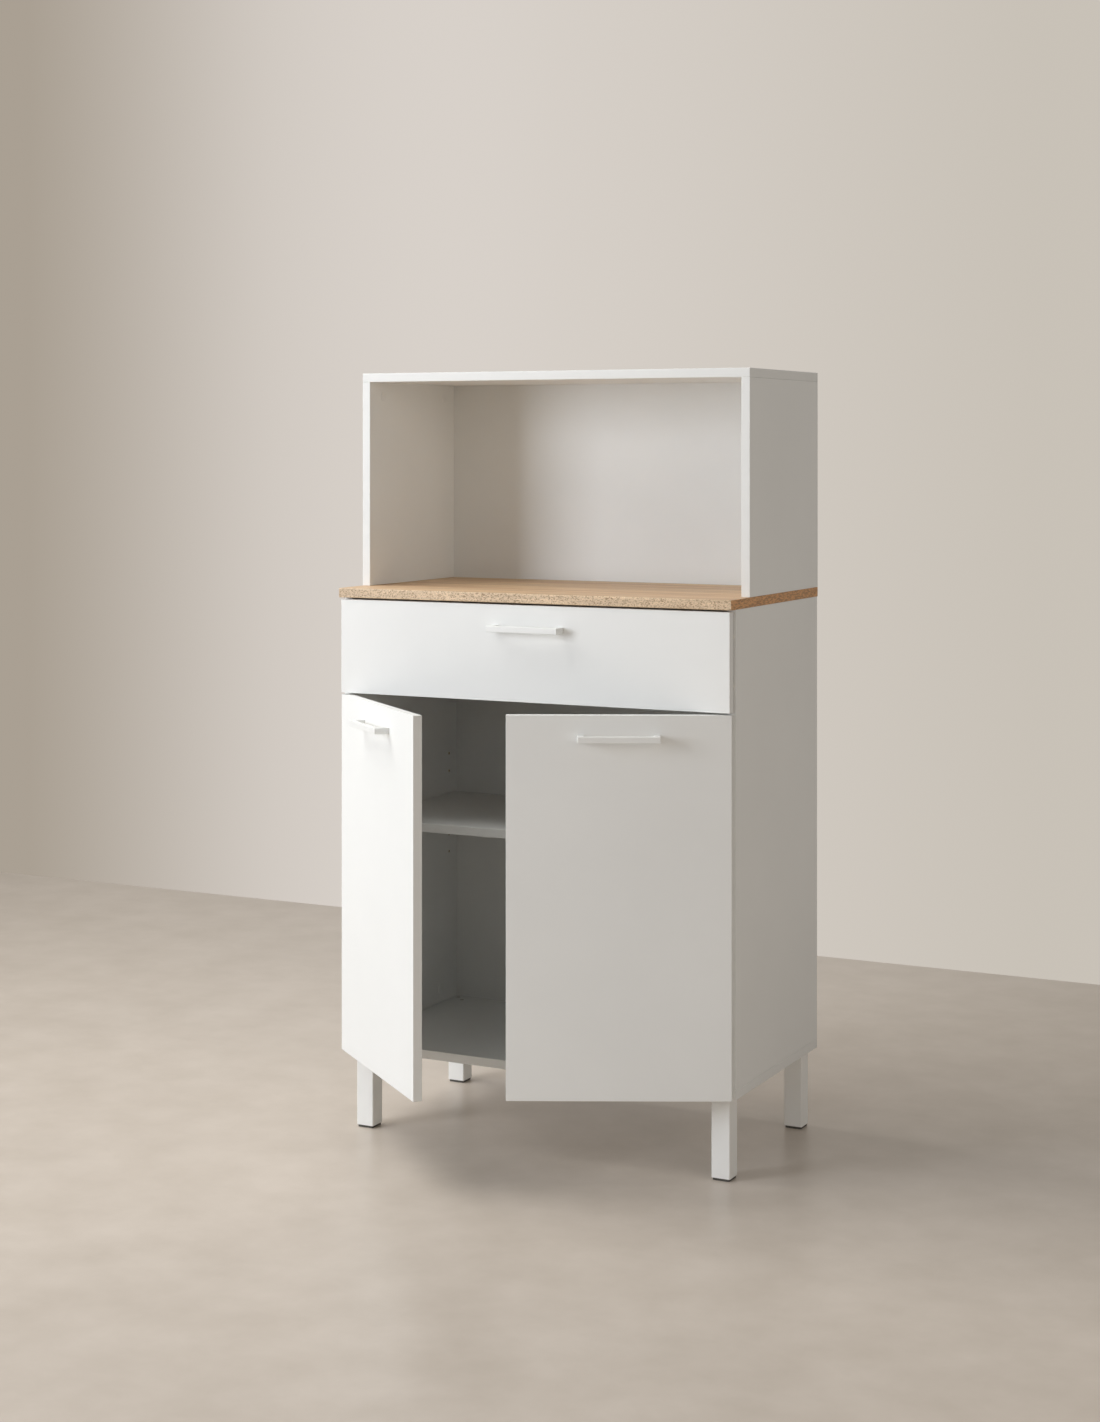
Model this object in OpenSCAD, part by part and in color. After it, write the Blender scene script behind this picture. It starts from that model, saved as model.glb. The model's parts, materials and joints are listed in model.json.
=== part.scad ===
// Kitchen cabinet: an open hutch over an oak top, one drawer and a two-door cupboard on four legs.
// Millimetres, +Z up. The origin is on the floor, under the middle of the whole cabinet with its
// doors standing ajar. Inside the modules Y = 0 is the front edge of the cupboard's sides.

/* [Cabinet] */
// Overall width
width = 720; // [560:1:900]
// Overall depth of the oak top
depth = 390; // [382:1:460]
// Overall height from the floor
height = 1290; // [1200:1:1400]
// Thickness of the white boards
board = 15; // [15:0.5:19]
// Height of the oak top's upper face above the floor
top_level = 923; // [900:1:960]
// Thickness of the oak top
top_t = 16; // [14:0.5:30]
// Radius along the oak top's front edges
top_edge_r = 1.5; // [0.5:0.1:4]
// How far the oak top stands in front of the drawer front
top_nose = 2; // [0:0.5:8]
// Thickness of the hardboard back panels
back_t = 3; // [2.5:0.5:4]

/* [Hutch] */
// How far the hutch's front lies behind the front edge of the oak top
hutch_setback = 78; // [60:1:100]
// How far the hutch's back panel lies in front of its rear edges
hutch_back_inset = 9.5; // [7:0.5:20]
// Depth of the grooves that hold the back panel
groove_depth = 5; // [3:0.5:6]

/* [Fronts] */
// Gap between neighbouring fronts
front_gap = 3; // [2:0.5:4]
// Distance from the side of the cabinet to the edge of the fronts
front_inset = 3.5; // [3:0.5:4.5]
// Gap between the fronts and the edges of the carcass
door_gap = 2.5; // [2.4:0.1:4]
// Height of the drawer front
drawer_front_h = 159; // [150:1:170]
// How far the doors end above the underside of the bottom board
door_lift = 1; // [0:0.5:4]
// Angle at which the left door stands open
left_open = 40; // [0:1:90]
// Angle at which the right door stands open
right_open = 26; // [0:1:90]

/* [Handles] */
// Length of a bar handle
handle_l = 130; // [90:1:200]
// Height of the bar
handle_h = 10; // [8:0.5:14]
// Thickness of the bar, front to back
handle_t = 8; // [5:0.5:10]
// Distance from the front to the face of the bar
handle_reach = 25; // [18:0.5:35]
// Width of a handle's foot
handle_foot = 10; // [8:0.5:14]
// Drop of the door handles' middle below the top of the doors
door_handle_drop = 36; // [20:1:80]
// Drop of the drawer handle's middle below the top of the drawer front
drawer_handle_drop = 39; // [20:1:80]

/* [Legs] */
// Side of a square leg
leg_side = 32; // [28:1:50]
// Height of a leg without its glide
leg_h = 131; // [100:1:160]
// Height of a glide
glide_h = 4; // [3:0.5:8]
// How far a glide stands back from the sides of its leg
glide_inset = 1.5; // [1:0.5:4]
// Distance from the side of the cabinet to a leg
leg_side_inset = 16; // [8:1:40]
// Distance from the front edge of the carcass to the front legs
leg_front_inset = 13; // [8:1:40]
// Distance from the rear edge of the bottom board to the back legs
leg_back_inset = 1; // [1:1:30]

/* [Shelf] */
// Height of the shelf's underside above the floor
shelf_level = 513; // [440:1:590]
// Distance from the front edges of the sides to the shelf
shelf_setback = 15; // [12:1:60]
// Side play of the shelf
shelf_play = 0.5; // [0.3:0.1:1]
// Radius of a shelf pin and of its hole
pin_r = 2.5; // [2:0.1:3]
// Depth of a pin hole
pin_hole_depth = 10; // [8:0.5:12]
// Distance from the front edge of a side to the front column of pin holes
pin_front = 45; // [40:1:80]
// Distance from the rear edge of a side to the rear column of pin holes
pin_back = 28; // [22:1:60]
// Distance from the shelf's pin hole to the next spare hole
pin_skip = 58; // [40:1:64]
// Pitch of the spare pin holes
pin_pitch = 32; // [20:1:32]

/* [Drawer] */
// Thickness of the drawer's box boards
box_t = 12; // [10:0.5:14]
// Height of the drawer's box
box_h = 100; // [80:1:108]
// How much shorter than the runners the drawer's box sides are
box_short = 3; // [2:1:6]
// Thickness of the drawer's bottom
box_bottom_t = 3; // [2.5:0.5:4]
// Height of the groove for the bottom above the lower edge of the box
box_groove_up = 14; // [14:0.5:18]
// Width of the front rail under the drawer
rail_w = 80; // [60:1:120]
// Height of the rail's underside above the drawer front's lower edge
rail_lift = 1; // [0:0.5:3]

/* [Runners] */
// Side space for each runner between the drawer box and the carcass
runner_space = 12.5; // [12.5:0.1:14]
// Height of the runner's axis above the drawer front's lower edge
runner_up = 50; // [48:1:56]
// Length of the runners
runner_l = 348; // [342:1:350]
// Sheet thickness of the runners
sheet = 1.2; // [1:0.1:1.2]
// Outer height of the fixed channel
channel_h = 18; // [17:0.5:19]
// Width of the channel's flanges
channel_w = 10.8; // [10:0.1:11]
// Radius of the nylon rollers
roller_r = 7.5; // [7:0.1:7.5]
// Radius of a roller's axle
axle_r = 2; // [1.5:0.1:2.5]
// Running clearance of axles and pins
running = 0.05; // [0.02:0.01:0.1]
// Clearance between a roller and its track
track_play = 0.1; // [0.1:0.05:0.3]

/* [Hinges] */
// Distance of the hinge cups' middles from the top and bottom of a door
hinge_end = 100; // [80:1:130]
// Radius of a hinge cup
cup_r = 17.5; // [17:0.1:17.5]
// Depth of a hinge cup
cup_depth = 12; // [12:0.1:12.5]
// Wood left between the hinge cup and the door's edge
cup_edge = 3; // [3:0.1:3.2]
// Distance of the hinge pin from the door's edge
pivot_in = 6.3; // [6.2:0.05:6.4]
// Depth of the hinge pin below the door's inner face
pivot_deep = 8.5; // [8.3:0.05:8.6]
// Radius of the hinge pin
hinge_pin_r = 1.25; // [1:0.05:1.3]
// Distance from the front edge of a side to the mounting plate's screws
plate_line = 37; // [36:0.5:40]

/* [Fixings] */
// Radius of a cam housing
cam_r = 7.5; // [6:0.5:7.5]
// Distance from a board's end to the middle of its cam housing
cam_in = 24; // [20:0.5:34]
// Radius of a dowel
dowel_r = 4; // [3:0.5:4]
// Length of a dowel
dowel_l = 30; // [25:1:35]
// Depth of dowel and bolt holes in a board's face
face_hole = 11; // [8:0.5:12]

/* [Hidden] */
$fn = 48;
// a cut reaches this far past the face it opens
past = 1;

white = "#f1f0ec";
oak = "#cdb094";
steel = "#b9bcbf";
grey = "#8d8d8b";
nylon = "#e4e2da";
beech = "#d9b98c";

// levels, from the floor up
base_z = leg_h + glide_h;
side_z = base_z + board;
top_z = top_level - top_t;
lid_z = height - board;
drawer_front_top = top_z - front_gap;
drawer_front_z = drawer_front_top - drawer_front_h;
door_z = base_z + door_lift;
door_top = drawer_front_z - front_gap;
rail_z = drawer_front_z + rail_lift;
runner_z = drawer_front_z + runner_up;

// lines from front to back
front_face = -(door_gap + board);
nose_y = front_face - top_nose;
back_y = depth + nose_y;
side_back = back_y - back_t;
hutch_y = nose_y + hutch_setback;
hutch_back_y = back_y - hutch_back_inset - back_t;

// lines across
half = width / 2;
inner = half - board;
front_half = half - front_inset;
door_w = front_half - front_gap / 2;

// the hinge axis of a door, and how far forward an open door reaches
pivot_x = front_half - pivot_in;
pivot_y = -door_gap - pivot_deep;
function reach(u, v, angle) = (u - pivot_in) * sin(angle) + (v - pivot_deep) * cos(angle) - pivot_y;
function door_reach(angle) =
    max(reach(door_w, board, angle), reach((door_w + handle_l) / 2, board + handle_reach, angle));
front_reach = max(door_reach(left_open), door_reach(right_open), handle_reach - front_face);
middle_y = (back_y - front_reach) / 2;

// the drawer box and its runners
runner_drop = 4;
runner_start = 2;
box_l = runner_l - box_short;
box_half = inner - runner_space;
box_inner = box_half - box_t;
box_z = runner_z - channel_h / 2 - runner_drop + sheet;
box_end = box_l - door_gap;
box_back_y = box_end - box_t;
box_bottom_z = box_z + box_groove_up;
box_groove = 5;
front_roller_y = 14;
front_roller_lift = 0.5;
front_roller_up = channel_h / 2 + front_roller_lift - roller_r;
rear_roller_in = 12;
rear_roller_y = runner_start + runner_l - rear_roller_in;
rear_roller_up = roller_r + sheet + track_play - channel_h / 2;
track_up = front_roller_up + roller_r + track_play;
axle_head_r = axle_r + 1.4;
axle_head_t = 0.8;
roller_w = 7.6;
roller_play = 0.3;
web_x = runner_space - sheet;
track_start = 1;
track_short = 2;
flange_clear = 2;

// rows of the fixings, each a step in from the front and the rear edge of the boards
cam_front = 50;
cam_rear = 60;
dowel_step = 40;
lid_cam_in = 45;
lid_dowel_in = 90;
hutch_screw_front = 65;
hutch_screw_rear = 80;
hutch_dowel_front = 95;
hutch_dowel_rear = 125;
rail_dowel_step = 22;
cam_rows = [cam_front, side_back - cam_rear];
dowel_rows = [cam_front + dowel_step, side_back - cam_rear - dowel_step];
lid_cam_rows = [hutch_y + lid_cam_in, side_back - lid_cam_in];
lid_dowel_rows = [hutch_y + lid_dowel_in, side_back - lid_dowel_in];
hutch_screw_rows = [hutch_y + hutch_screw_front, side_back - hutch_screw_rear];
hutch_dowel_rows = [hutch_y + hutch_dowel_front, side_back - hutch_dowel_rear];
rail_dowel_rows = [rail_w / 2 - rail_dowel_step, rail_w / 2 + rail_dowel_step];

// levels of the hinges and of the shelf's pins
hinge_levels = [door_top - hinge_end, door_z + hinge_end];
shelf_pin_z = shelf_level - pin_r;
pin_levels = [-pin_skip - pin_pitch, -pin_skip, 0, pin_skip, pin_skip + pin_pitch];
pin_rows = [pin_front, side_back - pin_back];
pin_reach = 8;
shelf_back_gap = 8;
leg_x = half - leg_side_inset - leg_side / 2;
front_leg_y = leg_front_inset + leg_side / 2;
back_leg_y = side_back - leg_back_inset - leg_side / 2;
leg_screw_step = 8;
leg_edge_r = 2;
peg_r = 3;
peg_l = 18;
runner_screw_front = runner_start + 38;
runner_screw_rear = runner_start + runner_l - 50;
runner_screw_rows = [runner_screw_front, (runner_screw_front + runner_screw_rear) / 2, runner_screw_rear];
box_runner_front = 60;
box_runner_rear = 75;
box_runner_rows = [box_runner_front, box_l - box_runner_rear];
box_screw_levels = [40, 80];
box_cam_levels = [32, 78];
handle_screw_x = (handle_l - handle_foot) / 2;
handle_screw_r = 2;
handle_bite = 8;
handle_edge_r = 1;
back_edge = 2;
groove_play = 0.1;
buffer_r = 5;
buffer_play = 0.2;
screw_head_t = 2.2;
nail_end = 25;
nail_rows = 7;
nail_row_pitch = (top_z - side_z - 2 * nail_end) / (nail_rows - 1);
nail_levels = [for (i = [0:nail_rows - 1]) side_z + nail_end + i * nail_row_pitch];
nail_columns = [-1, -0.5, 0, 0.5, 1] * (inner - 80);
bottom_screw_columns = [-1, 0, 1] * (box_inner - 95);
buffer_levels = [drawer_front_z + 40, drawer_front_top - 40];

// side is -1 on the left and 1 on the right; a piece of a pair is drawn as the right one
module place() translate([0, -middle_y, 0]) children();
module on(side) if (side < 0) mirror([1, 0, 0]) children(); else children();
module both() for (side = [-1, 1]) on(side) children();
module swing(side)
    translate([side * pivot_x, pivot_y, 0])
        rotate([0, 0, side < 0 ? -left_open : right_open])
            translate([-side * pivot_x, -pivot_y, 0])
                children();
module slab(low, high) translate(low) cube(high - low);
module rod_x(at, r, l) translate(at) rotate([0, 90, 0]) cylinder(r = r, h = l);
module rod_y(at, r, l) translate(at) rotate([-90, 0, 0]) cylinder(r = r, h = l);
module rod_z(at, r, l) translate(at) cylinder(r = r, h = l);
// an outline drawn in X and Z, drawn out along Y
module along_y(start, l) translate([0, start + l, 0]) rotate([90, 0, 0]) linear_extrude(l) children();
// a rectangle about the origin with round corners
module rounded(size, r) {
    square([size[0] - 2 * r, size[1]], center = true);
    square([size[0], size[1] - 2 * r], center = true);
    for (x = [-1, 1], y = [-1, 1])
        translate([x * (size[0] / 2 - r), y * (size[1] / 2 - r)]) circle(r);
}

// A countersunk screw, its head flush with z = 0 and its point down
point_r = 0.2;
module screw(l, r, head_r)
    rotate_extrude()
        polygon([[0, -l], [point_r, -l], [r, 2 * r - l], [r, r - head_r], [head_r, 0], [0, 0]]);

// A cam joint stands on z = 0: below lies the board that takes the bolt's thread,
// above it the end of the other board, whose near face is towards -X
bolt_r = 3;
bolt_thread_r = 2.5;
bolt_head_r = 3.5;
bolt_head_l = 4;
cam_web = 3;
slot_w = 1.4;
slot_deep = 1;
module cam_bolt() {
    head_z = cam_in - bolt_head_l;
    rotate_extrude()
        polygon([[0, -face_hole], [bolt_thread_r, -face_hole], [bolt_thread_r, 0], [bolt_r, 0],
                 [bolt_r, head_z], [bolt_head_r, head_z], [bolt_head_r, cam_in], [0, cam_in]]);
}
module cam_housing(t)
    difference() {
        rod_x([-t / 2, 0, cam_in], cam_r, t - cam_web);
        rod_z([0, 0, cam_in - cam_r - past], dowel_r, cam_r + 2 * past);
        translate([-t / 2 - past, 0, cam_in]) rotate([0, 90, 0]) linear_extrude(past + slot_deep) {
            square([slot_w, cam_r], center = true);
            square([cam_r, slot_w], center = true);
        }
    }
module cam_holes(t) {
    rod_z([0, 0, -face_hole], bolt_thread_r, face_hole);
    rod_z([0, 0, 0], dowel_r, cam_in);
    rod_x([-t / 2 - past, 0, cam_in], cam_r, t - cam_web + past);
}
module dowel() rod_z([0, 0, -face_hole], dowel_r, dowel_l);

// The places of the joints on the right-hand side
module up_at(y, z) translate([half - board / 2, y, z]) children();
module down_at(y, z) up_at(y, z) mirror([0, 0, 1]) children();
module rail_at(y) translate([inner, y, rail_z + board / 2]) rotate([0, -90, 0]) children();
module base_cams() {
    for (y = cam_rows) {
        up_at(y, side_z) children();
        down_at(y, top_z) children();
    }
}
module base_dowels() {
    for (y = dowel_rows) {
        up_at(y, side_z) children();
        down_at(y, top_z) children();
    }
}
module lid_cams() for (y = lid_cam_rows) down_at(y, lid_z) children();
module lid_dowels() for (y = lid_dowel_rows) down_at(y, lid_z) children();
module hutch_screw_places() for (y = hutch_screw_rows) down_at(y, top_z) children();
module hutch_dowels() for (y = hutch_dowel_rows) up_at(y, top_level) children();
module rail_cams() rail_at(rail_w / 2) children();
module rail_dowels() for (y = rail_dowel_rows) rail_at(y) children();
module hutch_screw() screw(50, 3, 5);

module leg_places() for (y = [front_leg_y, back_leg_y]) translate([leg_x, y, 0]) children();
module leg_screw_places()
    for (step = [-1, 1]) translate([step * leg_screw_step, step * leg_screw_step, side_z]) children();
module leg_screw() screw(50, 2, 4);

module side_nails() for (z = nail_levels) nail_at(half - board / 2, z) children();
module bottom_nails() for (x = nail_columns) nail_at(x, base_z + board / 2) children();
module nail_at(x, z) translate([x, back_y, z]) rotate([-90, 0, 0]) children();
module nail() screw(16, 1, 2.2);

module pin_holes()
    for (y = pin_rows, step = pin_levels)
        rod_x([inner - past, y, shelf_pin_z + step], pin_r, pin_hole_depth + past);

// Hinges. Here X runs from the edge of the door to its middle and Y from the inner face
// of the closed door into the cabinet, with the cup's middle at z = 0
wall_u = board - front_inset;
cup_wall = 0.6;
cup_floor = 0.8;
cup_u = cup_edge + cup_r;
cup_lug_u = cup_u + 9.5;
cup_screw_step = 22.5;
flange_t = 1;
flange_rim = 1.5;
flange_side = cup_r + 2 * flange_rim;
flange_start = cup_edge - 1;
lug_w = 12;
boss_start = 5.5;
pin_end = 1.8;
hook_play = 0.4;
hook_r = norm([pivot_in, pivot_deep]) + hook_play;
hook_t = 2.8;
hook_w = 6;
eye_r = 2;
boss_half = eye_r + hook_play;
wall_play = 0.3;
hook_low = cup_depth - cup_floor - pivot_deep - wall_play;
plate_t = 1.5;
plate_w = 18;
plate_screw_step = 16;
plate_v = door_gap + plate_line;
spine_h = 5.5;
spine_half = 5.5;
spine_start = plate_v - 26;
spine_end = plate_v + 20;
arm_wall = 1.2;
arm_play = 0.1;
arm_side_play = 0.3;
arm_half = spine_half + arm_side_play + arm_wall;
arm_start = 4;
arm_end = spine_end + 2;
neck_end = spine_start - hook_play;
neck_round = 4;
arm_top = wall_u + spine_h + arm_play + arm_wall;
arm_screw_back = 9;
arm_screw_l = arm_wall + arm_play + spine_h - 1;

module hinge_at(level) translate([front_half, -door_gap, level]) mirror([1, 0, 0]) children();
module each_hinge() for (level = hinge_levels) hinge_at(level) children();
module cup_screw_places()
    for (z = [-1, 1])
        translate([cup_lug_u, flange_t, z * cup_screw_step]) rotate([-90, 0, 0]) children();
module cup_screw() screw(13, 1.75, 3.3);
module hinge_pin()
    rod_z([pivot_in, -pivot_deep, -boss_start - pin_end], hinge_pin_r, 2 * (boss_start + pin_end));
module hinge_cup()
    difference() {
        union() {
            rod_y([cup_u, -cup_depth, 0], cup_r, cup_depth);
            intersection() {
                rod_y([cup_u, 0, 0], cup_r + flange_rim, flange_t);
                slab([flange_start, 0, -flange_side],
                     [flange_start + 2 * flange_side, flange_t, flange_side]);
            }
            slab([cup_lug_u - lug_w / 2, 0, -cup_screw_step],
                 [cup_lug_u + lug_w / 2, flange_t, cup_screw_step]);
            for (z = [-1, 1]) rod_y([cup_lug_u, 0, z * cup_screw_step], lug_w / 2, flange_t);
        }
        difference() {
            rod_y([cup_u, cup_floor - cup_depth, 0], cup_r - cup_wall, cup_depth + past);
            for (z = [-1, 1]) on_z(z)
                slab([0, -cup_depth, boss_start], [pivot_in + boss_half, boss_half - pivot_deep, cup_r]);
        }
        hinge_pin();
        cup_screw_places() cup_screw();
    }
module on_z(z) if (z < 0) mirror([0, 0, 1]) children(); else children();
module hinge_arm()
    difference() {
        union() {
            // the eye and the strip under it
            translate([pivot_in, -pivot_deep, -hook_w / 2]) {
                cylinder(r = eye_r, h = hook_w);
                slab([0, -hook_low, 0], [hook_r + past, hook_play, hook_w]);
                // the gooseneck round the door's edge
                difference() {
                    intersection() {
                        cylinder(r = hook_r + hook_t, h = hook_w);
                        slab([wall_u + wall_play - pivot_in, -hook_low, 0],
                             [hook_r + hook_t, hook_r, hook_w]);
                    }
                    translate([0, 0, -past]) cylinder(r = hook_r, h = hook_w + 2 * past);
                }
            }
            // the neck that joins it to the arm
            difference() {
                slab([wall_u + wall_play, 0, -hook_w / 2], [arm_top, neck_end, hook_w / 2]);
                rod_z([pivot_in, -pivot_deep, -hook_w], hook_r, 2 * hook_w);
                rod_z([arm_top, -neck_round / 2, -hook_w], neck_round, 2 * hook_w);
            }
            // the arm, a channel over the spine of the mounting plate
            difference() {
                slab([wall_u + plate_t + wall_play, arm_start, -arm_half], [arm_top, arm_end, arm_half]);
                slab([0, arm_start - past, arm_wall - arm_half],
                     [arm_top - arm_wall, arm_end + past, arm_half - arm_wall]);
            }
        }
        rod_z([pivot_in, -pivot_deep, -hook_w], hinge_pin_r + running, 2 * hook_w);
        arm_screw_place() arm_screw();
    }
module arm_screw_place() translate([arm_top, plate_v + arm_screw_back, 0]) rotate([0, 90, 0]) children();
module arm_screw() {
    rod_z([0, 0, -arm_screw_l], 2.5, arm_screw_l);
    cylinder(r = 4, h = 1.8);
}
module plate_screw_places()
    for (z = [-1, 1])
        translate([wall_u + plate_t, plate_v, z * plate_screw_step]) rotate([0, 90, 0]) children();
module plate_screw() screw(14, 2, 3.8);
module hinge_plate()
    difference() {
        union() {
            slab([wall_u, plate_v - plate_w / 2, -plate_screw_step],
                 [wall_u + plate_t, plate_v + plate_w / 2, plate_screw_step]);
            for (z = [-1, 1]) rod_x([wall_u, plate_v, z * plate_screw_step], plate_w / 2, plate_t);
            slab([wall_u, spine_start, -spine_half], [wall_u + spine_h, spine_end, spine_half]);
        }
        plate_screw_places() plate_screw();
        arm_screw_place() arm_screw();
    }

// Carcass
module side_panel()
    difference() {
        slab([inner, 0, side_z], [half, side_back, top_z]);
        base_cams() cam_holes(board);
        base_dowels() dowel();
        rail_cams() cam_holes(board);
        rail_dowels() dowel();
        pin_holes();
        each_hinge() plate_screw_places() plate_screw();
        runner_screw_places() runner_screw();
        side_nails() nail();
    }
module side_left() color(white) place() on(-1) side_panel();
module side_right() color(white) place() on(1) side_panel();

module bottom_board()
    color(white) place() difference() {
        slab([-half, 0, base_z], [half, side_back, side_z]);
        both() {
            for (y = cam_rows) up_at(y, side_z) cam_holes(board);
            for (y = dowel_rows) up_at(y, side_z) dowel();
            leg_places() leg_screw_places() leg_screw();
        }
        bottom_nails() nail();
    }

module countertop()
    color(oak) place() difference() {
        translate([-half, 0, 0]) rotate([90, 0, 90]) linear_extrude(width) {
            translate([nose_y + top_edge_r, top_z]) square([depth - top_edge_r, top_t]);
            translate([nose_y, top_z + top_edge_r]) square([top_edge_r, top_t - 2 * top_edge_r]);
            for (z = [top_z + top_edge_r, top_level - top_edge_r])
                translate([nose_y + top_edge_r, z]) circle(top_edge_r);
        }
        both() {
            for (y = cam_rows) down_at(y, top_z) cam_holes(board);
            for (y = dowel_rows) down_at(y, top_z) dowel();
            hutch_screw_places() hutch_screw();
            hutch_dowels() dowel();
        }
        hutch_groove();
    }

module front_rail()
    color(white) place() difference() {
        slab([-inner, 0, rail_z], [inner, rail_w, rail_z + board]);
        both() {
            rail_cams() cam_holes(board);
            rail_dowels() dowel();
        }
    }

module shelf()
    color(white) place()
        slab([shelf_play - inner, shelf_setback, shelf_level],
             [inner - shelf_play, side_back - shelf_back_gap, shelf_level + board]);

module base_back()
    color(white) place() difference() {
        slab([back_edge - half, side_back, base_z + back_edge], [half - back_edge, back_y, top_z]);
        both() side_nails() nail();
        bottom_nails() nail();
    }

// Hutch
module hutch_groove()
    slab([-inner - groove_depth, hutch_back_y - groove_play, top_level - groove_depth],
         [inner + groove_depth, hutch_back_y + back_t + groove_play, lid_z + groove_depth]);
module hutch_side()
    difference() {
        slab([inner, hutch_y, top_level], [half, back_y, lid_z]);
        lid_cams() cam_holes(board);
        lid_dowels() dowel();
        hutch_screw_places() hutch_screw();
        hutch_dowels() dowel();
        hutch_groove();
    }
module hutch_side_left() color(white) place() on(-1) hutch_side();
module hutch_side_right() color(white) place() on(1) hutch_side();
module hutch_top()
    color(white) place() difference() {
        slab([-half, hutch_y, lid_z], [half, back_y, height]);
        both() {
            lid_cams() cam_holes(board);
            lid_dowels() dowel();
        }
        hutch_groove();
    }
module hutch_back()
    color(white) place()
        slab([groove_play - inner - groove_depth, hutch_back_y, top_level - groove_depth],
             [inner + groove_depth - groove_play, hutch_back_y + back_t, lid_z + groove_depth - groove_play]);

// Legs
module leg()
    difference() {
        translate([0, 0, glide_h]) linear_extrude(leg_h) rounded([leg_side, leg_side], leg_edge_r);
        leg_screw_places() leg_screw();
        glide();
    }
module glide() {
    glide_side = leg_side - 2 * glide_inset;
    linear_extrude(glide_h) rounded([glide_side, glide_side], leg_edge_r);
    rod_z([0, 0, glide_h], peg_r, peg_l);
}
module leg_at(side, y) color(white) place() on(side) translate([leg_x, y, 0]) leg();
module leg_front_left() leg_at(-1, front_leg_y);
module leg_front_right() leg_at(1, front_leg_y);
module leg_back_left() leg_at(-1, back_leg_y);
module leg_back_right() leg_at(1, back_leg_y);
module leg_glides() color(grey) place() both() leg_places() glide();

// Fixings of the carcass
module leg_screws() color(steel) place() both() leg_places() leg_screw_places() leg_screw();
module hutch_screws() color(steel) place() both() hutch_screw_places() hutch_screw();
module carcass_cams() both() {
    base_cams() children();
    lid_cams() children();
    rail_cams() children();
}
module cam_bolts() color(steel) place() carcass_cams() cam_bolt();
module cam_housings() color(steel) place() carcass_cams() cam_housing(board);
module dowels()
    color(beech) place() both() {
        base_dowels() dowel();
        lid_dowels() dowel();
        rail_dowels() dowel();
        hutch_dowels() dowel();
    }
module back_nails()
    color(steel) place() {
        both() side_nails() nail();
        bottom_nails() nail();
    }
module shelf_pins()
    color(steel) place() both() for (y = pin_rows)
        rod_x([inner - pin_reach, y, shelf_pin_z], pin_r, pin_reach + pin_hole_depth);
module buffers()
    color(nylon) place() both() for (z = buffer_levels)
        rod_y([front_half - buffer_r, buffer_play - door_gap, z], buffer_r, door_gap - buffer_play);

// Hinges
module hinge_plates() color(steel) place() both() each_hinge() hinge_plate();
module arm_at(side, level) color(steel) place() on(side) hinge_at(level) hinge_arm();
module hinge_arm_left_upper() arm_at(-1, hinge_levels[0]);
module hinge_arm_left_lower() arm_at(-1, hinge_levels[1]);
module hinge_arm_right_upper() arm_at(1, hinge_levels[0]);
module hinge_arm_right_lower() arm_at(1, hinge_levels[1]);
module hinge_screws()
    color(steel) place() both() each_hinge() {
        plate_screw_places() plate_screw();
        arm_screw_place() arm_screw();
    }
module cup_at(side, level) color(steel) place() swing(side) on(side) hinge_at(level) hinge_cup();
module hinge_cup_left_upper() cup_at(-1, hinge_levels[0]);
module hinge_cup_left_lower() cup_at(-1, hinge_levels[1]);
module hinge_cup_right_upper() cup_at(1, hinge_levels[0]);
module hinge_cup_right_lower() cup_at(1, hinge_levels[1]);
module pins_at(side) color(steel) place() swing(side) on(side) each_hinge() hinge_pin();
module hinge_pins_left() pins_at(-1);
module hinge_pins_right() pins_at(1);

// A bar handle about its middle, its feet on the plane Y = 0 and its bar towards -Y
module handle()
    difference() {
        translate([0, 0, -handle_h / 2]) linear_extrude(handle_h) difference() {
            translate([0, -handle_reach / 2]) rounded([handle_l, handle_reach], handle_edge_r);
            translate([handle_foot - handle_l / 2, handle_t - handle_reach])
                square([handle_l - 2 * handle_foot, handle_reach - handle_t + past]);
        }
        handle_screws_here();
    }
module handle_screws_here()
    for (x = [-handle_screw_x, handle_screw_x]) {
        rod_y([x, -handle_bite, 0], handle_screw_r, handle_bite + board);
        rod_y([x, board, 0], 2 * handle_screw_r, screw_head_t);
    }
module door_handle_place()
    translate([front_half - door_w / 2, front_face, door_top - door_handle_drop]) children();
module drawer_handle_place()
    translate([0, front_face, drawer_front_top - drawer_handle_drop]) children();

// Doors
module door()
    difference() {
        slab([front_gap / 2, front_face, door_z], [front_half, -door_gap, door_top]);
        each_hinge() {
            rod_y([cup_u, -cup_depth, 0], cup_r, cup_depth + past);
            cup_screw_places() cup_screw();
        }
        door_handle_place() handle_screws_here();
    }
module door_at(side) color(white) place() swing(side) on(side) door();
module door_left() door_at(-1);
module door_right() door_at(1);
module door_handle_at(side) color(white) place() swing(side) on(side) door_handle_place() handle();
module handle_left() door_handle_at(-1);
module handle_right() door_handle_at(1);
module door_screws_at(side)
    color(steel) place() swing(side) on(side) {
        each_hinge() cup_screw_places() cup_screw();
        door_handle_place() handle_screws_here();
    }
module door_screws_left() door_screws_at(-1);
module door_screws_right() door_screws_at(1);

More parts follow.
